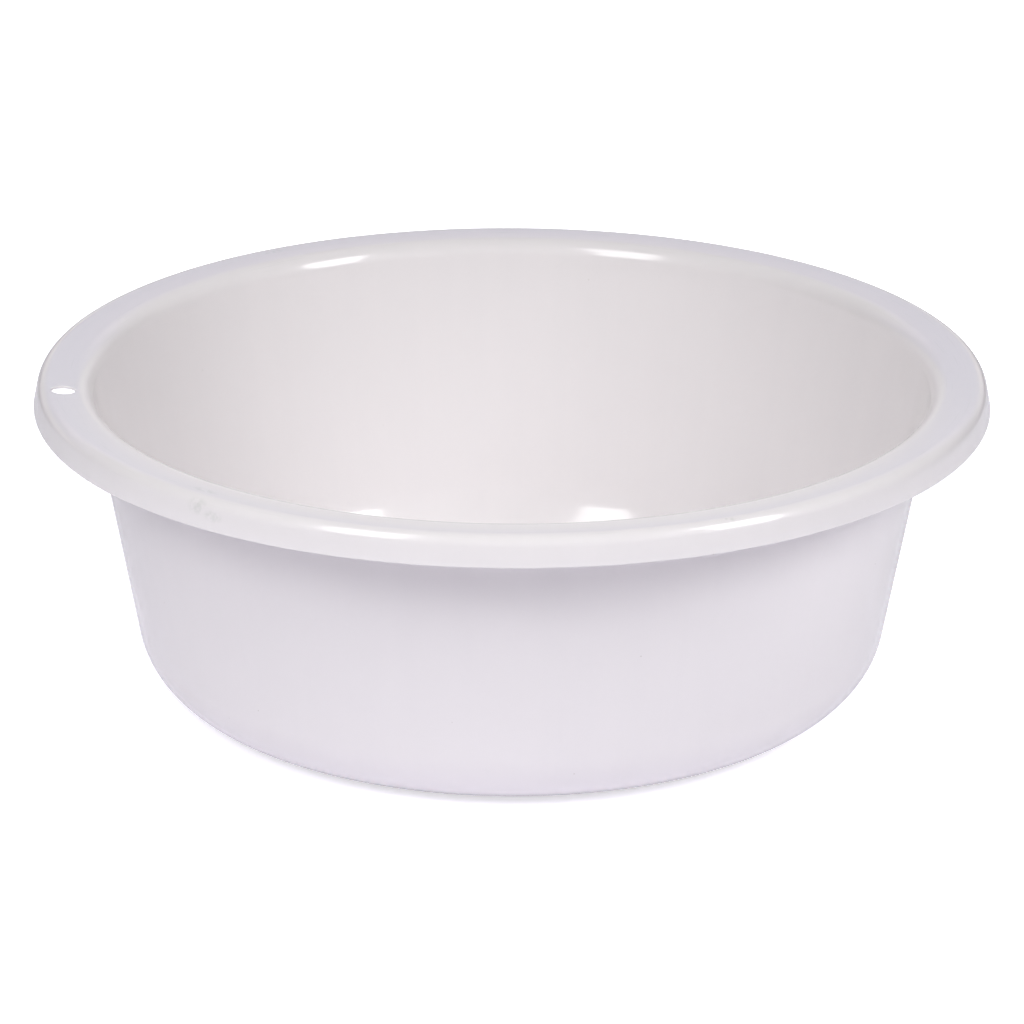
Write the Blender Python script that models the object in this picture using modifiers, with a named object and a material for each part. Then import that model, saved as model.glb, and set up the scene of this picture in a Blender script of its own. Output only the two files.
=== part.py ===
"""A round household basin, injection-moulded in one piece.

One turned shell makes the bowl, its floor with a standing ring, and the flat rim with its
turned-down skirt. A hang hole is cut through the rim on the -X side.
Metres, +Z up. The origin is the centre of the standing face. Angles are in degrees.
"""

import math

import bpy
from mathutils import Vector

# Overall sizes
RIM_DIAMETER = 0.400
HEIGHT = 0.1368
STANDING_DIAMETER = 0.2534

# Wall of the bowl and its floor
WALL_THICKNESS = 0.0015
BASE_CORNER_RADIUS = 0.032
RING_WIDTH = 0.009
RING_HEIGHT = 0.0015

# Rim: a flat that rises a little outward, a rounded shoulder and a skirt that flares to its foot
RIM_THICKNESS = 0.0012
MOUTH_RADIUS_OF_CURVE = 0.0082
RIM_FLAT_WIDTH = 0.0106
RIM_RISE_ANGLE = 3.5
SHOULDER_RADIUS = 0.0052
SKIRT_DEPTH = 0.0122
SKIRT_FLARE_ANGLE = 11.5

# Hang hole
HANG_HOLE_DIAMETER = 0.010

# Fineness of the mesh
TURN_STEPS = 72
BASE_CORNER_STEPS = 8
MOUTH_STEPS = 5
SHOULDER_STEPS = 4
FOOT_STEPS = 3
HOLE_STEPS = 24

# Finish
WHITE_PLASTIC = (0.80, 0.77, 0.81, 1.0)
PLASTIC_ROUGHNESS = 0.25

MERGE_DISTANCE = 0.00001
RIGHT_ANGLE = 90.0
HALF_TURN = 180.0


def heading(angle):
    """The unit vector (radius, height) at an angle from the outward radius."""
    return Vector((math.cos(math.radians(angle)), math.sin(math.radians(angle))))


def arc(centre, start, end, steps, radius, end_radius=None):
    """Points round a centre, from one angle to another. The radius may change evenly on the way."""
    last = radius if end_radius is None else end_radius
    shares = [step / steps for step in range(steps + 1)]
    return [
        centre + heading(start + (end - start) * share) * (radius + (last - radius) * share)
        for share in shares
    ]


def section_centres():
    """The centres of the arcs at the skirt's foot, the shoulder, the mouth and the base corner."""
    foot_radius = RIM_THICKNESS / 2
    foot = Vector((RIM_DIAMETER / 2 - foot_radius, HEIGHT - SKIRT_DEPTH + foot_radius))
    # The skirt touches the foot's round and the shoulder on the same side.
    drop = HEIGHT - SHOULDER_RADIUS - foot.y
    flare = math.radians(SKIRT_FLARE_ANGLE)
    reach = (SHOULDER_RADIUS - foot_radius + drop * math.sin(flare)) / math.cos(flare)
    shoulder = Vector((foot.x - reach, HEIGHT - SHOULDER_RADIUS))
    inward = heading(HALF_TURN + RIM_RISE_ANGLE)
    upward = heading(RIGHT_ANGLE + RIM_RISE_ANGLE)
    mouth = shoulder + inward * RIM_FLAT_WIDTH + upward * (SHOULDER_RADIUS - MOUTH_RADIUS_OF_CURVE)
    base = Vector((STANDING_DIAMETER / 2, BASE_CORNER_RADIUS))
    return foot, shoulder, mouth, base


def wall_lean(mouth, base):
    """The wall's angle from upright, for a wall that touches the mouth's arc and the base's arc."""
    between = mouth - base
    apart = BASE_CORNER_RADIUS - WALL_THICKNESS + MOUTH_RADIUS_OF_CURVE
    return math.degrees(math.acos(apart / between.length) - math.atan2(between.y, between.x))


def floor_points(gap):
    """The floor's centre and the step down to the standing ring, at a gap above the underside."""
    ring_inner = STANDING_DIAMETER / 2 - RING_WIDTH
    mitre = gap * math.tan(math.radians(RIGHT_ANGLE / 4))
    return [
        Vector((0.0, RING_HEIGHT + gap)),
        Vector((ring_inner - RING_HEIGHT + mitre, RING_HEIGHT + gap)),
        Vector((ring_inner + mitre, gap)),
    ]


def basin_section():
    """The closed section of the shell: up the inside, over the rim, down the outside to the centre."""
    foot, shoulder, mouth, base = section_centres()
    lean = wall_lean(mouth, base)
    flat_angle = RIGHT_ANGLE + RIM_RISE_ANGLE
    wall_angle = HALF_TURN - lean
    skirt_angle = SKIRT_FLARE_ANGLE
    inside = floor_points(WALL_THICKNESS)
    inside += arc(base, -RIGHT_ANGLE, -lean, BASE_CORNER_STEPS, BASE_CORNER_RADIUS - WALL_THICKNESS)
    inside += arc(mouth, wall_angle, flat_angle, MOUTH_STEPS, MOUTH_RADIUS_OF_CURVE)
    inside += arc(shoulder, flat_angle, skirt_angle, SHOULDER_STEPS, SHOULDER_RADIUS)
    inside += arc(foot, skirt_angle, skirt_angle - HALF_TURN, FOOT_STEPS, RIM_THICKNESS / 2)
    outside = arc(shoulder, skirt_angle, flat_angle, SHOULDER_STEPS, SHOULDER_RADIUS - RIM_THICKNESS)
    outside += arc(
        mouth,
        flat_angle,
        wall_angle,
        MOUTH_STEPS,
        MOUTH_RADIUS_OF_CURVE - RIM_THICKNESS,
        MOUTH_RADIUS_OF_CURVE - WALL_THICKNESS,
    )
    outside += arc(base, -lean, -RIGHT_ANGLE, BASE_CORNER_STEPS, BASE_CORNER_RADIUS)
    outside += reversed(floor_points(0.0))
    return inside + outside


def plastic_material():
    material = bpy.data.materials.new("white_plastic")
    material.use_nodes = True
    shader = material.node_tree.nodes["Principled BSDF"]
    shader.inputs["Base Color"].default_value = WHITE_PLASTIC
    shader.inputs["Roughness"].default_value = PLASTIC_ROUGHNESS
    shader.inputs["Metallic"].default_value = 0.0
    material.diffuse_color = WHITE_PLASTIC
    return material


def turned_object(name, section, collection):
    """An object whose section, a path of (radius, height) points, is turned round the Z axis."""
    mesh = bpy.data.meshes.new(name)
    points = [(point.x, 0.0, point.y) for point in section]
    edges = [(index, index + 1) for index in range(len(points) - 1)]
    mesh.from_pydata(points, edges, [])
    turned = bpy.data.objects.new(name, mesh)
    collection.objects.link(turned)
    screw = turned.modifiers.new("turn", "SCREW")
    screw.axis = "Z"
    screw.steps = TURN_STEPS
    screw.render_steps = TURN_STEPS
    screw.use_merge_vertices = True
    screw.merge_threshold = MERGE_DISTANCE
    screw.use_smooth_shade = True
    return turned


def hang_hole_cutter(collection):
    """A cylinder through the middle of the rim's flat, long enough to pass both of its faces."""
    _, shoulder, _, _ = section_centres()
    flat_end = shoulder + heading(RIGHT_ANGLE + RIM_RISE_ANGLE) * SHOULDER_RADIUS
    flat_middle = flat_end + heading(HALF_TURN + RIM_RISE_ANGLE) * RIM_FLAT_WIDTH / 2
    bpy.ops.mesh.primitive_cylinder_add(
        vertices=HOLE_STEPS,
        radius=HANG_HOLE_DIAMETER / 2,
        depth=2 * SKIRT_DEPTH,
        location=(-flat_middle.x, 0.0, HEIGHT),
    )
    cutter = bpy.context.object
    cutter.name = "hang_hole_cutter"
    for holder in list(cutter.users_collection):
        holder.objects.unlink(cutter)
    collection.objects.link(cutter)
    cutter.hide_render = True
    cutter.display_type = "WIRE"
    return cutter


def new_collection(name):
    collection = bpy.data.collections.new(name)
    bpy.context.scene.collection.children.link(collection)
    return collection


def main():
    for old in list(bpy.data.objects):
        bpy.data.objects.remove(old)
    parts = new_collection("plastic_basin")
    cutters = new_collection("cutters")
    basin = turned_object("basin", basin_section(), parts)
    basin.data.materials.append(plastic_material())
    hole = basin.modifiers.new("hang_hole", "BOOLEAN")
    hole.operation = "DIFFERENCE"
    hole.solver = "EXACT"
    hole.object = hang_hole_cutter(cutters)


main()
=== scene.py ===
"""The looks of the white plastic basin: one fine turned moulding, its glossy plastic, light and camera.

Metres, +Z up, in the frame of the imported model. Angles are in degrees. An azimuth of 0 looks from -Y
and grows towards +X.
"""

import math

import bpy
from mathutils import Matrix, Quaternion, Vector


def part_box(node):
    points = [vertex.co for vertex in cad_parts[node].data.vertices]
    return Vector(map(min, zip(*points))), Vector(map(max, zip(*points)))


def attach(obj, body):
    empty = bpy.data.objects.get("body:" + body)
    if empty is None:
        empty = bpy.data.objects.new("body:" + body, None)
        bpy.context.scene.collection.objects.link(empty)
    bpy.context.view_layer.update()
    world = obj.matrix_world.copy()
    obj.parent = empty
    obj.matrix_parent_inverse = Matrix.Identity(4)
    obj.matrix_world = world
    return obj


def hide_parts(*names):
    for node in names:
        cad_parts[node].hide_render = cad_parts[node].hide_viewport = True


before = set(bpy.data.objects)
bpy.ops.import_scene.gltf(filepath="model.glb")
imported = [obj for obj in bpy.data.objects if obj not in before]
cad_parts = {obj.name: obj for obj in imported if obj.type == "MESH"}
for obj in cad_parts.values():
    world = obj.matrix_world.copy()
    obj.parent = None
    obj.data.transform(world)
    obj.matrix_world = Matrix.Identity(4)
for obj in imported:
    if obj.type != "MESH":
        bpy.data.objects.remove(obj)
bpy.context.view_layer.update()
_, cad_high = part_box("basin")

# Overall sizes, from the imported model
RIM_RADIUS = cad_high.x
HEIGHT = cad_high.z

# The bowl and its floor, as in the construction
STANDING_RADIUS = 0.1267
WALL_THICKNESS = 0.0015
BASE_CORNER_RADIUS = 0.032
RING_WIDTH = 0.009
RING_HEIGHT = 0.0015
RING_EDGE_RADIUS = 0.0009

# The rim, as in the construction
RIM_THICKNESS = 0.0012
MOUTH_RADIUS_OF_CURVE = 0.0082
RIM_FLAT_WIDTH = 0.0106
RIM_RISE_ANGLE = 3.5
SHOULDER_RADIUS = 0.0052
SKIRT_DEPTH = 0.0122
SKIRT_FLARE_ANGLE = 11.5

# The hang hole and the softened edge round it
HANG_HOLE_RADIUS = 0.005
HOLE_EDGE_RADIUS = 0.0003

# The gate mark under the centre of the floor: a shallow round recess with a trimmed stub
GATE_RECESS_RADIUS = 0.006
GATE_RECESS_DEPTH = 0.0003
GATE_STUB_RADIUS = 0.0016
GATE_STUB_HEIGHT = 0.0006
GATE_EDGE_RADIUS = 0.0001
PLAIN_FLOOR_BEGINS = GATE_RECESS_RADIUS * 2

# Fineness of the mesh
TURN_STEPS = 288
LARGE_ARC_STEPS = 20
SMALL_ARC_STEPS = 10
EDGE_STEPS = 4
WALL_STEPS = 24
HOLE_STEPS = 72
MERGE_DISTANCE = 0.000001
SHARP_ANGLE = 40.0

# Camera
CAMERA_AZIMUTH = -9.0
CAMERA_DISTANCE = 2.0
CAMERA_HEIGHT = 0.82994
CAMERA_LENS = 177.61
CAMERA_ROLL = 0.252
AIM_HEIGHT = 0.0722
AIM_SIDE = 0.0002

# Light: two tall soft boxes that lean apart and make the highlights, and soft lamps for matt light
LAMP_AIM = Vector((0.0, 0.0, 0.07))
LAMP_DISTANCE = 1.5
LAMP_COLOUR = (1.0, 1.0, 1.0)
LEFT_BOX = {"azimuth": -51.0, "elevation": 52.0, "lean": 19.0, "size": (0.39, 1.15)}
RIGHT_BOX = {"azimuth": 52.5, "elevation": 41.0, "lean": -22.0, "size": (0.38, 1.05)}
FRONT_FILL = {"elevation": 35.0, "lean": 0.0, "size": (0.8, 0.5), "matt": True, "gloss": False}
BACK_FILL = {"elevation": 32.0, "lean": 0.0, "size": (1.2, 0.8), "matt": True, "gloss": False}
LAMPS = {
    "left_soft_box": {**LEFT_BOX, "power": 9.8, "matt": True, "gloss": True},
    "left_gleam": {**LEFT_BOX, "power": 4.7, "matt": False, "gloss": True},
    "right_gleam": {**RIGHT_BOX, "power": 12.5, "matt": False, "gloss": True},
    "left_fill": {**FRONT_FILL, "azimuth": -46.3, "power": 4.7},
    "right_fill": {**FRONT_FILL, "azimuth": 28.7, "power": 6.1},
    "side_fill": {**FRONT_FILL, "azimuth": 63.7, "power": 5.8},
    "back_fill": {**BACK_FILL, "azimuth": 171.0, "power": 7.7},
}

# Backdrop: white to the eye. Gloss sees it only behind the basin, in tints that change with height
WHITE = (1.0, 1.0, 1.0, 1.0)
SKY_BANDS = (
    (0.0, (0.5, 0.4, 0.5, 1.0)),
    (0.1, (0.8, 0.75, 0.8, 1.0)),
    (0.18, (0.85, 0.85, 0.85, 1.0)),
    (0.25, (0.66, 0.61, 0.65, 1.0)),
    (0.32, (0.2, 0.24, 0.52, 1.0)),
    (0.41, (0.26, 0.22, 0.5, 1.0)),
    (0.47, (0.52, 0.46, 0.76, 1.0)),
    (0.58, (0.0, 0.0, 0.0, 1.0)),
)
BEHIND_BEGINS = 0.5
BEHIND_ENDS = 0.85

# Floor: a cool white, lifted to white for the eye and a little for all other rays round the basin
FLOOR_SIZE = 12.0
FLOOR_GAP = 0.0002
FLOOR_COLOUR = (0.9, 0.885, 0.965, 1.0)
FLOOR_LIFT_NEAR = 0.5
FLOOR_LIFT_FAR = 1.0
FLOOR_GLOW = 0.15
NEAR_ENDS = 0.3
FAR_BEGINS = 0.6

# Noise: how many finer layers it has. The pairs of LEVELS below are where a mark begins and is full
SMOOTH_DETAIL = 0.0
SOFT_DETAIL = 1.0
USUAL_DETAIL = 2.0
GRAINY_DETAIL = 3.0

# Plastic: polypropylene, with the faint clouds and flow lines of its moulding
PLASTIC_COLOUR = (0.85, 0.818, 0.83, 1.0)
CLOUD_COLOUR = (0.844, 0.813, 0.826, 1.0)
PLASTIC_IOR = 1.49
CLEAR_ROUGHNESS = 0.11
CLOUD_ROUGHNESS = 0.13
CLOUD_SIZE = 0.09
CLOUD_LEVELS = (0.8, 1.2)
FLOW_LINE_SIZE = 0.011
FLOW_LINE_LENGTH = 0.4

# Its surface, as heights in metres: a fine orange peel, a slow waviness and the mould's turning marks
PEEL_SIZE = 0.0026
PEEL_DEPTH = 0.000003
WAVE_SIZE = 0.035
WAVE_DEPTH = 0.00004
TURNING_SPACING = 0.0011
TURNING_DEPTH = 0.0000012
TURNED_BELOW = 0.006

# Specks of burnt plastic in the moulding
SPECK_COLOUR = (0.55, 0.52, 0.48, 1.0)
SPECK_SPACING = 0.012
SPECK_RADIUS = 0.00032
SPECKED_SHARE = 0.25

# Rubbed places: the foot, the rim's edge and smudges, which fade between two shares of their reach
RUBBED_COLOUR = (0.69, 0.69, 0.675, 1.0)
RUBBED_ROUGHNESS = 0.34
RUBBED_DEPTH = 0.000004
FOOT_RUB_HEIGHT = 0.0006
FOOT_PATCH_SIZE = 0.006
FOOT_PATCH_LEVELS = (0.4, 0.6)
FOOT_PATCH_SHARE = 0.5
EDGE_RUB_SHARE = 0.35
SCRATCH_LENGTH = 0.03
SCRATCH_WIDTH = 0.0004
SCRATCH_LEVELS = (0.68, 0.74)
SMUDGE_FADE = (0.3, 1.0)
SMUDGE_GRAIN = 0.0022
SMUDGE_GRAIN_LEVELS = (0.35, 0.65)
SMUDGE_STRENGTH = 0.6
SMUDGES = (
    {"azimuth": -48.2, "radius": 0.1902, "height": 0.1363, "length": 0.0100, "width": 0.0026},
    {"azimuth": -47.2, "radius": 0.1981, "height": 0.1332, "length": 0.0065, "width": 0.0042},
    {"azimuth": -44.9, "radius": 0.1987, "height": 0.1308, "length": 0.0062, "width": 0.0030},
    {"azimuth": 16.9, "radius": 0.1955, "height": 0.1363, "length": 0.0018, "width": 0.0014},
    {"azimuth": 16.2, "radius": 0.1948, "height": 0.1363, "length": 0.0010, "width": 0.0009},
    {"azimuth": 128.0, "radius": 0.1975, "height": 0.1345, "length": 0.0090, "width": 0.0022},
    {"azimuth": 205.0, "radius": 0.1905, "height": 0.1363, "length": 0.0080, "width": 0.0020},
)

RIGHT_ANGLE = 90.0
HALF_TURN = 180.0

# The places of a Mix node's colour sockets, behind those for its other kinds of value
MIX_COLOUR_A = "6"
MIX_COLOUR_B = "7"
MIX_COLOUR_RESULT = 2


def heading(angle):
    """The unit vector (radius, height) at an angle from the outward radius."""
    return Vector((math.cos(math.radians(angle)), math.sin(math.radians(angle))))


def arc(centre, start, end, steps, radius, end_radius=None):
    """Points round a centre, from one angle to another. The radius may change evenly on the way."""
    last = radius if end_radius is None else end_radius
    shares = [step / steps for step in range(steps + 1)]
    return [
        centre + heading(start + (end - start) * share) * (radius + (last - radius) * share)
        for share in shares
    ]


def straight(start, end, steps):
    """The points between two ends of a straight run, without the ends."""
    return [start.lerp(end, step / steps) for step in range(1, steps)]


def softened(points, radius):
    """The same path with each inner corner rounded to a radius."""
    path = [points[0]]
    for before, corner, after in zip(points, points[1:], points[2:]):
        way_in = (corner - before).normalized()
        way_out = (after - corner).normalized()
        turn = way_in.angle_signed(way_out)
        reach = radius * math.tan(abs(turn) / 2)
        start = corner - way_in * reach
        end = corner + way_out * reach
        middle = corner + (way_out - way_in).normalized() * radius * (1 / math.cos(turn / 2) - 1)
        path += bend(start, middle, end)
    path.append(points[-1])
    return path


def bend(start, middle, end):
    """Points on the even curve from start, through middle, to end, with both ends."""
    control = middle * 2 - (start + end) / 2
    shares = [step / EDGE_STEPS for step in range(1, EDGE_STEPS)]
    between = [start.lerp(control, share).lerp(control.lerp(end, share), share) for share in shares]
    return [start, *between, end]


def section_centres():
    """The centres of the arcs at the skirt's foot, the shoulder, the mouth and the base corner."""
    foot_radius = RIM_THICKNESS / 2
    foot = Vector((RIM_RADIUS - foot_radius, HEIGHT - SKIRT_DEPTH + foot_radius))
    drop = HEIGHT - SHOULDER_RADIUS - foot.y
    flare = math.radians(SKIRT_FLARE_ANGLE)
    reach = (SHOULDER_RADIUS - foot_radius + drop * math.sin(flare)) / math.cos(flare)
    shoulder = Vector((foot.x - reach, HEIGHT - SHOULDER_RADIUS))
    inward = heading(HALF_TURN + RIM_RISE_ANGLE)
    upward = heading(RIGHT_ANGLE + RIM_RISE_ANGLE)
    mouth = shoulder + inward * RIM_FLAT_WIDTH + upward * (SHOULDER_RADIUS - MOUTH_RADIUS_OF_CURVE)
    base = Vector((STANDING_RADIUS, BASE_CORNER_RADIUS))
    return foot, shoulder, mouth, base


def wall_lean(mouth, base):
    """The wall's angle from upright, for a wall that touches the mouth's arc and the base's arc."""
    between = mouth - base
    apart = BASE_CORNER_RADIUS - WALL_THICKNESS + MOUTH_RADIUS_OF_CURVE
    return math.degrees(math.acos(apart / between.length) - math.atan2(between.y, between.x))


def floor_path(gap):
    """The floor from near its centre to the standing ring, at a gap above the underside."""
    ring_inner = STANDING_RADIUS - RING_WIDTH
    mitre = gap * math.tan(math.radians(RIGHT_ANGLE / 4))
    corners = [
        Vector((PLAIN_FLOOR_BEGINS, RING_HEIGHT + gap)),
        Vector((ring_inner - RING_HEIGHT + mitre, RING_HEIGHT + gap)),
        Vector((ring_inner + mitre, gap)),
        Vector((STANDING_RADIUS, gap)),
    ]
    return softened(corners, RING_EDGE_RADIUS)[:-1]


def gate_mark():
    """The underside from its centre, over the gate mark, to where the plain floor begins."""
    recess = RING_HEIGHT + GATE_RECESS_DEPTH
    corners = [
        Vector((0.0, recess - GATE_STUB_HEIGHT)),
        Vector((GATE_STUB_RADIUS, recess - GATE_STUB_HEIGHT)),
        Vector((GATE_STUB_RADIUS, recess)),
        Vector((GATE_RECESS_RADIUS, recess)),
        Vector((GATE_RECESS_RADIUS + GATE_RECESS_DEPTH, RING_HEIGHT)),
        Vector((PLAIN_FLOOR_BEGINS, RING_HEIGHT)),
    ]
    return softened(corners, GATE_EDGE_RADIUS)[:-1]


def basin_section():
    """The closed section of the shell: up the inside, over the rim, down the outside to the centre."""
    foot, shoulder, mouth, base = section_centres()
    lean = wall_lean(mouth, base)
    flat = RIGHT_ANGLE + RIM_RISE_ANGLE
    wall = HALF_TURN - lean
    skirt = SKIRT_FLARE_ANGLE
    inner_corner = BASE_CORNER_RADIUS - WALL_THICKNESS
    base_inside = arc(base, -RIGHT_ANGLE, -lean, LARGE_ARC_STEPS, inner_corner)
    mouth_inside = arc(mouth, wall, flat, SMALL_ARC_STEPS, MOUTH_RADIUS_OF_CURVE)
    mouth_outside = arc(
        mouth,
        flat,
        wall,
        SMALL_ARC_STEPS,
        MOUTH_RADIUS_OF_CURVE - RIM_THICKNESS,
        MOUTH_RADIUS_OF_CURVE - WALL_THICKNESS,
    )
    base_outside = arc(base, -lean, -RIGHT_ANGLE, LARGE_ARC_STEPS, BASE_CORNER_RADIUS)
    section = [Vector((0.0, RING_HEIGHT + WALL_THICKNESS))]
    section += floor_path(WALL_THICKNESS)
    section += base_inside
    section += straight(base_inside[-1], mouth_inside[0], WALL_STEPS)
    section += mouth_inside
    section += arc(shoulder, flat, skirt, SMALL_ARC_STEPS, SHOULDER_RADIUS)
    section += arc(foot, skirt, skirt - HALF_TURN, SMALL_ARC_STEPS, RIM_THICKNESS / 2)
    section += arc(shoulder, skirt, flat, SMALL_ARC_STEPS, SHOULDER_RADIUS - RIM_THICKNESS)
    section += mouth_outside
    section += straight(mouth_outside[-1], base_outside[0], WALL_STEPS)
    section += base_outside
    section += reversed(floor_path(0.0))
    section += reversed(gate_mark())
    return section


def turned_object(name, section, steps):
    """An object whose section, a path of (radius, height) points, is turned round the Z axis."""
    mesh = bpy.data.meshes.new(name)
    points = [(point.x, 0.0, point.y) for point in section]
    edges = [(index, index + 1) for index in range(len(points) - 1)]
    mesh.from_pydata(points, edges, [])
    turned = bpy.data.objects.new(name, mesh)
    bpy.context.scene.collection.objects.link(turned)
    screw = turned.modifiers.new("turn", "SCREW")
    screw.axis = "Z"
    screw.steps = steps
    screw.render_steps = steps
    screw.use_merge_vertices = True
    screw.merge_threshold = MERGE_DISTANCE
    return turned


def hole_cutter():
    """A round pin with a flare at each face of the rim's flat, sheared to follow the flat's rise."""
    _, shoulder, _, _ = section_centres()
    flat_end = shoulder + heading(RIGHT_ANGLE + RIM_RISE_ANGLE) * SHOULDER_RADIUS
    middle = flat_end + heading(HALF_TURN + RIM_RISE_ANGLE) * RIM_FLAT_WIDTH / 2
    edge = HANG_HOLE_RADIUS + HOLE_EDGE_RADIUS
    top = Vector((edge, -HOLE_EDGE_RADIUS))
    bottom = Vector((edge, HOLE_EDGE_RADIUS - RIM_THICKNESS))
    section = [Vector((0.0, SKIRT_DEPTH)), Vector((edge, SKIRT_DEPTH))]
    section += arc(top, RIGHT_ANGLE, HALF_TURN, EDGE_STEPS * 2, HOLE_EDGE_RADIUS)
    section += arc(bottom, HALF_TURN, HALF_TURN + RIGHT_ANGLE, EDGE_STEPS * 2, HOLE_EDGE_RADIUS)
    section += [Vector((edge, -SKIRT_DEPTH)), Vector((0.0, -SKIRT_DEPTH))]
    cutter = turned_object("hang_hole_cutter", section, HOLE_STEPS)
    mesh = final_mesh(cutter)
    rise = math.tan(math.radians(RIM_RISE_ANGLE))
    for vertex in mesh.vertices:
        vertex.co.z += middle.y - vertex.co.x * rise
        vertex.co.x -= middle.x
    cutter.modifiers.clear()
    cutter.data = mesh
    return cutter


def final_mesh(source):
    """The object's mesh with its modifiers applied."""
    bpy.context.view_layer.update()
    evaluated = source.evaluated_get(bpy.context.evaluated_depsgraph_get())
    return bpy.data.meshes.new_from_object(evaluated)


def basin_moulding():
    """The basin with its hang hole, as one plain mesh."""
    basin = turned_object("basin_moulding", basin_section(), TURN_STEPS)
    cutter = hole_cutter()
    hole = basin.modifiers.new("hang_hole", "BOOLEAN")
    hole.operation = "DIFFERENCE"
    hole.solver = "EXACT"
    hole.object = cutter
    mesh = final_mesh(basin)
    mesh.name = "basin_moulding"
    mesh.shade_smooth()
    mesh.set_sharp_from_angle(angle=math.radians(SHARP_ANGLE))
    basin.modifiers.clear()
    basin.data = mesh
    bpy.data.objects.remove(cutter)
    return basin


class Nodes:
    """Short calls for building a node tree. A socket goes by its name, or by its place as a digit."""

    def __init__(self, tree):
        self.tree = tree
        tree.nodes.clear()

    def add(self, kind, settings=None, **inputs):
        node = self.tree.nodes.new(kind)
        for name, value in (settings or {}).items():
            setattr(node, name, value)
        for name, value in inputs.items():
            self.set(node, name.replace("_", " "), value)
        return node

    def set(self, node, name, value):
        socket = node.inputs[int(name)] if name.isdigit() else node.inputs[name]
        if isinstance(value, bpy.types.NodeSocket):
            self.tree.links.new(value, socket)
        else:
            socket.default_value = value

    def maths(self, operation, first, second=None):
        node = self.add("ShaderNodeMath", {"operation": operation})
        self.set(node, "0", first)
        if second is not None:
            self.set(node, "1", second)
        return node.outputs[0]

    def vector(self, operation, first, second=None):
        node = self.add("ShaderNodeVectorMath", {"operation": operation})
        self.set(node, "0", first)
        if second is not None:
            self.set(node, "1", second)
        return node.outputs["Value" if operation == "LENGTH" else "Vector"]

    def eased(self, value, low, high, start=0.0, end=1.0):
        """A smooth step from start to end while the value goes from low to high."""
        node = self.add("ShaderNodeMapRange", {"interpolation_type": "SMOOTHSTEP"}, Value=value)
        for name, level in (("From Min", low), ("From Max", high), ("To Min", start), ("To Max", end)):
            self.set(node, name, level)
        return node.outputs["Result"]

    def noise(self, place, size, detail=USUAL_DETAIL):
        """Even noise round a half, with features of a size in the units of the place."""
        return self.add("ShaderNodeTexNoise", Vector=place, Scale=1 / size, Detail=detail).outputs[0]

    def blend(self, factor, first, second):
        """The first colour, turning into the second as the factor goes from 0 to 1."""
        node = self.add("ShaderNodeMix", {"data_type": "RGBA", "clamp_factor": True}, Factor=factor)
        self.set(node, MIX_COLOUR_A, first)
        self.set(node, MIX_COLOUR_B, second)
        return node.outputs[MIX_COLOUR_RESULT]


class Place:
    """Where a point of the basin is: its place, its radius and height, and its way round the axis."""

    def __init__(self, nodes):
        self.point = nodes.add("ShaderNodeTexCoord").outputs["Object"]
        level = nodes.vector("MULTIPLY", self.point, (1.0, 1.0, 0.0))
        self.radius = nodes.vector("LENGTH", level)
        self.outward = nodes.vector("NORMALIZE", level)
        parts = nodes.add("ShaderNodeSeparateXYZ", Vector=self.point)
        self.height = parts.outputs["Z"]
        self.turn = nodes.maths("ARCTAN2", parts.outputs["Y"], parts.outputs["X"])


def clouds(nodes, place):
    """0 where the melt set clear and 1 where it is clouded, drawn out into lines along its flow."""
    path = nodes.maths("DIVIDE", nodes.maths("ADD", place.radius, place.height), FLOW_LINE_LENGTH)
    along = nodes.add("ShaderNodeCombineXYZ", Z=nodes.maths("MULTIPLY", path, FLOW_LINE_SIZE))
    ring = nodes.add("ShaderNodeVectorMath", {"operation": "SCALE"}, Scale=RIM_RADIUS)
    nodes.set(ring, "0", place.outward)
    across = nodes.vector("ADD", ring.outputs["Vector"], along.outputs["Vector"])
    lines = nodes.noise(across, FLOW_LINE_SIZE)
    patches = nodes.noise(place.point, CLOUD_SIZE)
    return nodes.eased(nodes.maths("ADD", lines, patches), *CLOUD_LEVELS)


def specks(nodes, place):
    """1 inside the few round specks."""
    cells = nodes.add("ShaderNodeTexVoronoi", Vector=place.point, Scale=1 / SPECK_SPACING)
    chance = nodes.add("ShaderNodeSeparateColor", Color=cells.outputs["Color"])
    chosen = nodes.maths("LESS_THAN", chance.outputs["Red"], SPECKED_SHARE)
    reach = SPECK_RADIUS / SPECK_SPACING
    inside = nodes.eased(cells.outputs["Distance"], reach / 2, reach, 1.0, 0.0)
    return nodes.maths("MULTIPLY", inside, chosen)


def smudges(nodes, place):
    """0 to 1 over the smudges on the rim, broken up by a fine grain."""
    total = 0.0
    for mark in SMUDGES:
        turn = math.radians(mark["azimuth"])
        centre = (mark["radius"] * math.sin(turn), -mark["radius"] * math.cos(turn), mark["height"])
        local = nodes.add("ShaderNodeMapping", {"vector_type": "TEXTURE"}, Vector=place.point)
        local.inputs["Location"].default_value = centre
        local.inputs["Rotation"].default_value = (0.0, 0.0, turn)
        local.inputs["Scale"].default_value = (mark["length"], mark["width"], mark["width"])
        away = nodes.vector("LENGTH", local.outputs["Vector"])
        total = nodes.maths("MAXIMUM", nodes.eased(away, *SMUDGE_FADE, 1.0, 0.0), total)
    grain = nodes.noise(place.point, SMUDGE_GRAIN, GRAINY_DETAIL)
    broken = nodes.eased(grain, *SMUDGE_GRAIN_LEVELS, 0.0, SMUDGE_STRENGTH)
    return nodes.maths("MULTIPLY", total, broken)


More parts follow.
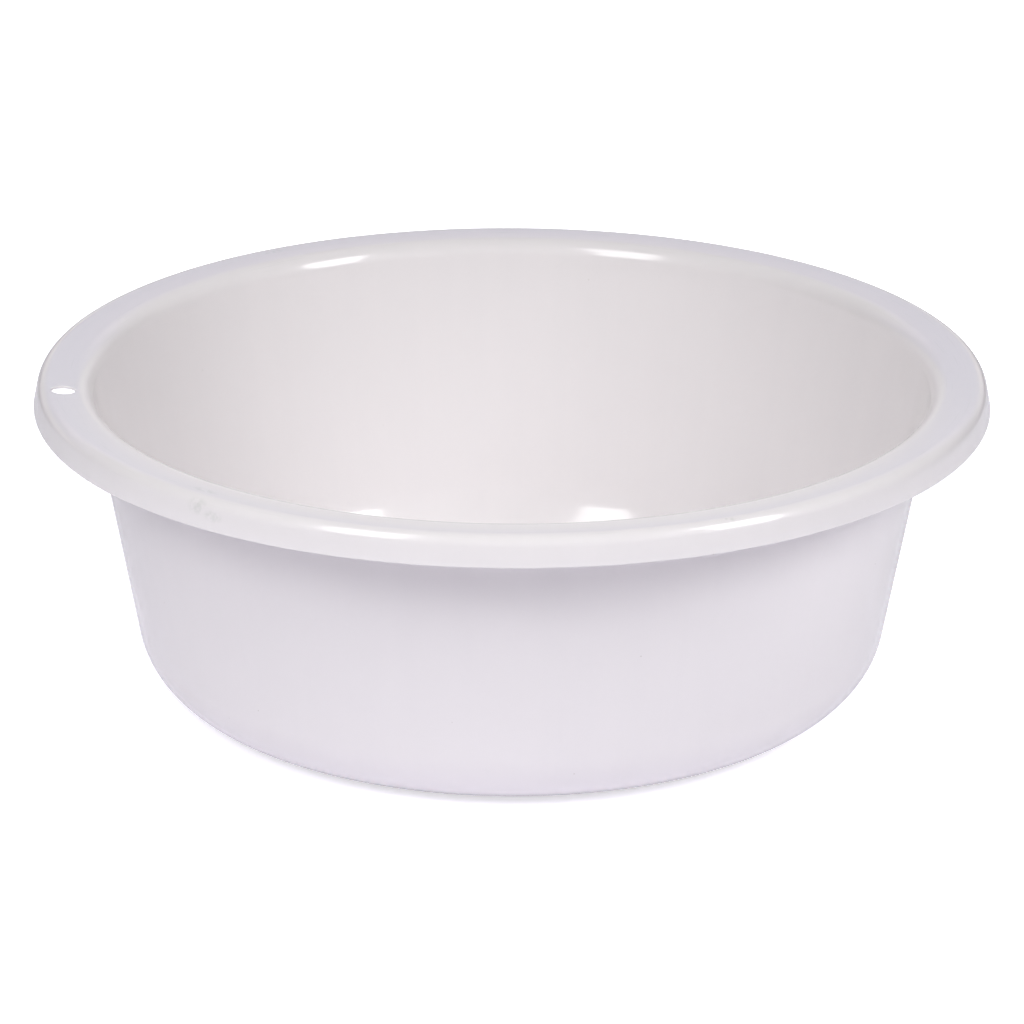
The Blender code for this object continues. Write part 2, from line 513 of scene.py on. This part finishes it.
def scratches(nodes, place):
    """1 along fine scratches that run round the basin."""
    arc_length = nodes.maths("MULTIPLY", place.turn, RIM_RADIUS / SCRATCH_LENGTH)
    out = nodes.maths("DIVIDE", place.radius, SCRATCH_WIDTH)
    up = nodes.maths("DIVIDE", place.height, SCRATCH_WIDTH)
    stretched = nodes.add("ShaderNodeCombineXYZ", X=arc_length, Y=out, Z=up)
    lines = nodes.noise(stretched.outputs["Vector"], size=1.0, detail=SOFT_DETAIL)
    return nodes.eased(lines, *SCRATCH_LEVELS)


def rubbed(nodes, place):
    """How far the surface is rubbed: the standing ring's foot, the rim's edge and the smudges."""
    foot = nodes.eased(place.height, FOOT_RUB_HEIGHT / 2, FOOT_RUB_HEIGHT, 1.0, 0.0)
    edge = nodes.eased(place.height, HEIGHT - SHOULDER_RADIUS, HEIGHT, 0.0, EDGE_RUB_SHARE)
    scratched = nodes.maths("MULTIPLY", nodes.maths("MAXIMUM", foot, edge), scratches(nodes, place))
    patches = nodes.noise(place.point, FOOT_PATCH_SIZE, GRAINY_DETAIL)
    worn = nodes.eased(patches, *FOOT_PATCH_LEVELS, 0.0, FOOT_PATCH_SHARE)
    marks = nodes.maths("MAXIMUM", scratched, nodes.maths("MULTIPLY", foot, worn))
    return nodes.maths("MAXIMUM", marks, smudges(nodes, place))


def surface_height(nodes, place, rub):
    """The height of the fine surface over the smooth form, in metres. Rubbed places lie lower."""
    peel = nodes.maths("MULTIPLY", nodes.noise(place.point, PEEL_SIZE, SOFT_DETAIL), PEEL_DEPTH)
    wave = nodes.maths("MULTIPLY", nodes.noise(place.point, WAVE_SIZE, SMOOTH_DETAIL), WAVE_DEPTH)
    rings = nodes.maths("SINE", nodes.maths("MULTIPLY", place.radius, 2 * math.pi / TURNING_SPACING))
    low = nodes.eased(place.height, TURNED_BELOW / 2, TURNED_BELOW, TURNING_DEPTH, 0.0)
    turned = nodes.maths("MULTIPLY", rings, low)
    cuts = nodes.maths("MULTIPLY", rub, -RUBBED_DEPTH)
    return nodes.maths("ADD", nodes.maths("ADD", peel, wave), nodes.maths("ADD", turned, cuts))


def plastic():
    """Glossy moulded polypropylene that has been handled a little."""
    material = bpy.data.materials.new("white_plastic")
    material.use_nodes = True
    nodes = Nodes(material.node_tree)
    place = Place(nodes)
    clouded = clouds(nodes, place)
    rub = rubbed(nodes, place)
    colour = nodes.blend(clouded, PLASTIC_COLOUR, CLOUD_COLOUR)
    colour = nodes.blend(rub, colour, RUBBED_COLOUR)
    colour = nodes.blend(specks(nodes, place), colour, SPECK_COLOUR)
    gloss = nodes.eased(clouded, 0.0, 1.0, CLEAR_ROUGHNESS, CLOUD_ROUGHNESS)
    roughness = nodes.add("ShaderNodeMix", Factor=rub, A=gloss, B=RUBBED_ROUGHNESS)
    bump = nodes.add("ShaderNodeBump", Height=surface_height(nodes, place, rub), Distance=1.0)
    shader = nodes.add("ShaderNodeBsdfPrincipled", Base_Color=colour, Normal=bump.outputs["Normal"])
    shader.inputs["IOR"].default_value = PLASTIC_IOR
    nodes.set(shader, "Roughness", roughness.outputs["Result"])
    output = nodes.add("ShaderNodeOutputMaterial")
    nodes.set(output, "Surface", shader.outputs["BSDF"])
    return material


def either(nodes, first, second):
    """1 where either of two Light Path outputs is 1."""
    path = nodes.add("ShaderNodeLightPath")
    return nodes.maths("MAXIMUM", path.outputs[first], path.outputs[second])


def floor():
    """A wide floor, white to the eye, that keeps the basin's shadow."""
    mesh = bpy.data.meshes.new("floor")
    half = FLOOR_SIZE / 2
    corners = [(x * half, y * half, -FLOOR_GAP) for x, y in ((-1, -1), (1, -1), (1, 1), (-1, 1))]
    mesh.from_pydata(corners, [], [(0, 1, 2, 3)])
    ground = bpy.data.objects.new("floor", mesh)
    bpy.context.scene.collection.objects.link(ground)
    material = bpy.data.materials.new("floor")
    material.use_nodes = True
    nodes = Nodes(material.node_tree)
    matt = nodes.add("ShaderNodeBsdfDiffuse", Color=FLOOR_COLOUR)
    lift = nodes.add("ShaderNodeEmission", Color=WHITE)
    away = nodes.vector("LENGTH", nodes.add("ShaderNodeTexCoord").outputs["Object"])
    strength = nodes.add("ShaderNodeMix", Factor=either(nodes, "Is Camera Ray", "Is Transmission Ray"))
    nodes.set(strength, "A", nodes.eased(away, NEAR_ENDS, FAR_BEGINS, FLOOR_GLOW, 0.0))
    nodes.set(strength, "B", nodes.eased(away, NEAR_ENDS, FAR_BEGINS, FLOOR_LIFT_NEAR, FLOOR_LIFT_FAR))
    nodes.set(lift, "Strength", strength.outputs["Result"])
    both = nodes.add("ShaderNodeAddShader")
    nodes.set(both, "0", matt.outputs[0])
    nodes.set(both, "1", lift.outputs[0])
    output = nodes.add("ShaderNodeOutputMaterial")
    nodes.set(output, "Surface", both.outputs[0])
    mesh.materials.append(material)


def soft_box(name, azimuth, elevation, lean, size, power, matt, gloss):
    """A rectangular lamp aimed at the basin. A lean turns it about its own axis."""
    lamp = bpy.data.lights.new(name, "AREA")
    lamp.shape = "RECTANGLE"
    lamp.size, lamp.size_y = size
    lamp.energy = power
    lamp.color = LAMP_COLOUR
    box = bpy.data.objects.new(name, lamp)
    bpy.context.scene.collection.objects.link(box)
    turn = math.radians(azimuth)
    lift = math.radians(elevation)
    level = Vector((math.sin(turn), -math.cos(turn), 0.0)) * math.cos(lift)
    towards = level + Vector((0.0, 0.0, math.sin(lift)))
    box.location = LAMP_AIM + towards * LAMP_DISTANCE
    roll = Quaternion((0.0, 0.0, 1.0), math.radians(lean))
    box.rotation_euler = ((-towards).to_track_quat("-Z", "Y") @ roll).to_euler()
    box.visible_camera = False
    box.visible_diffuse = matt
    box.visible_glossy = gloss


def surroundings():
    """A backdrop that is white to the eye, graded to the gloss and dark to matt light."""
    world = bpy.data.worlds.new("studio")
    world.use_nodes = True
    nodes = Nodes(world.node_tree)
    direction = nodes.add("ShaderNodeTexCoord")
    parts = nodes.add("ShaderNodeSeparateXYZ", Vector=direction.outputs["Generated"])
    sky = nodes.add("ShaderNodeValToRGB", Fac=parts.outputs["Z"])
    colour_stops(sky.color_ramp, SKY_BANDS)
    behind = nodes.eased(parts.outputs["Y"], BEHIND_BEGINS, BEHIND_ENDS)
    path = nodes.add("ShaderNodeLightPath")
    strength = nodes.maths("MULTIPLY", behind, path.outputs["Is Glossy Ray"])
    graded = nodes.add("ShaderNodeBackground", Color=sky.outputs["Color"], Strength=strength)
    white = nodes.add("ShaderNodeBackground", Color=WHITE)
    choice = nodes.add("ShaderNodeMixShader", Fac=either(nodes, "Is Camera Ray", "Is Transmission Ray"))
    nodes.set(choice, "1", graded.outputs[0])
    nodes.set(choice, "2", white.outputs[0])
    output = nodes.add("ShaderNodeOutputWorld")
    nodes.set(output, "Surface", choice.outputs[0])
    bpy.context.scene.world = world


def colour_stops(ramp, stops):
    """Sets a colour ramp's stops, each a place and a colour."""
    while len(ramp.elements) < len(stops):
        ramp.elements.new(1.0)
    for element, (place, colour) in zip(ramp.elements, stops):
        element.position = place
        element.color = colour


def camera():
    """The camera at the photograph's angle, a little turned about its line of sight."""
    lens = bpy.data.cameras.new("camera")
    lens.lens = CAMERA_LENS
    eye = bpy.data.objects.new("camera", lens)
    bpy.context.scene.collection.objects.link(eye)
    turn = math.radians(CAMERA_AZIMUTH)
    towards = Vector((math.sin(turn), -math.cos(turn), 0.0))
    right = Vector((math.cos(turn), math.sin(turn), 0.0))
    eye.location = towards * CAMERA_DISTANCE + Vector((0.0, 0.0, CAMERA_HEIGHT))
    aim = right * AIM_SIDE + Vector((0.0, 0.0, AIM_HEIGHT))
    roll = Quaternion((0.0, 0.0, 1.0), math.radians(CAMERA_ROLL))
    eye.rotation_euler = ((aim - eye.location).to_track_quat("-Z", "Y") @ roll).to_euler()
    bpy.context.scene.camera = eye


camera()
basin = basin_moulding()
basin.data.materials.append(plastic())
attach(basin, "root")
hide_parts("basin")
floor()
for name, lamp in LAMPS.items():
    soft_box(name, **lamp)
surroundings()
bpy.context.scene.view_settings.view_transform = "Standard"
